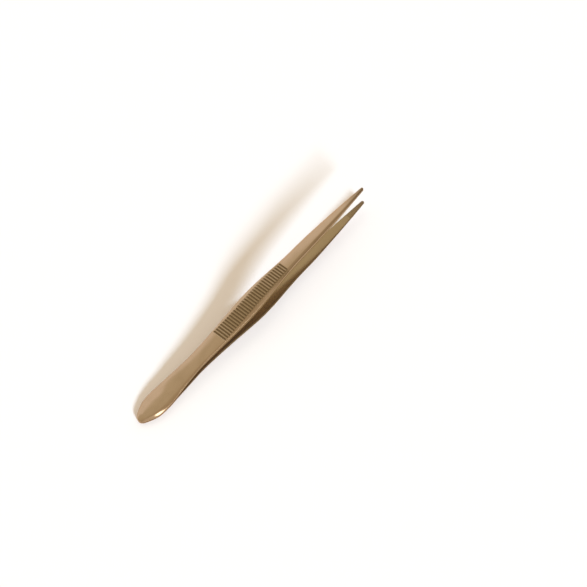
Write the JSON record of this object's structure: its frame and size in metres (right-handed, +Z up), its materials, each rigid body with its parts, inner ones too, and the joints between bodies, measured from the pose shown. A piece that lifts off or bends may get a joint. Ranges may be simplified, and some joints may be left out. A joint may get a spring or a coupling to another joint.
{
  "type": "tweezers",
  "caption": "Straight tweezers of two sprung steel blades welded at a wide leaf-shaped heel, with a cross-grooved grip and slim blunt points, for holding small things.",
  "frame": {"origin": "on the table that the tweezers lie on, under the middle of their length", "axes": "+X along the tweezers from the heel to the points, +Y across the blades, +Z up from the table and nearly square to the blades"},
  "size_m": [0.1452, 0.0106, 0.015],
  "materials": {
    "blade_steel": "fine satin polish, warm toned, darker in the grooves",
    "weld_steel": "dull, left as welded"
  },
  "bodies": {
    "heel": {"heel_weld": "weld_steel"},
    "upper_arm": {"upper_arm": "blade_steel"},
    "lower_arm": {"lower_arm": "blade_steel"}
  },
  "joints": [
    {"name": "upper_arm_bend", "type": "hinge", "parent": "heel", "child": "upper_arm", "pos_m": [-0.05247, 0, 0.00332], "axis": [0, 1, 0], "range_deg": [0, 2.1], "stiffness_Nm_per_rad": 5},
    {"name": "lower_arm_bend", "type": "hinge", "parent": "heel", "child": "lower_arm", "pos_m": [-0.05237, 0, 0.0014], "axis": [0, -1, 0], "range_deg": [0, 2.1], "stiffness_Nm_per_rad": 5}
  ],
  "couplings": [
    {"joint": "lower_arm_bend", "follows": "upper_arm_bend", "ratio": 1}
  ]
}
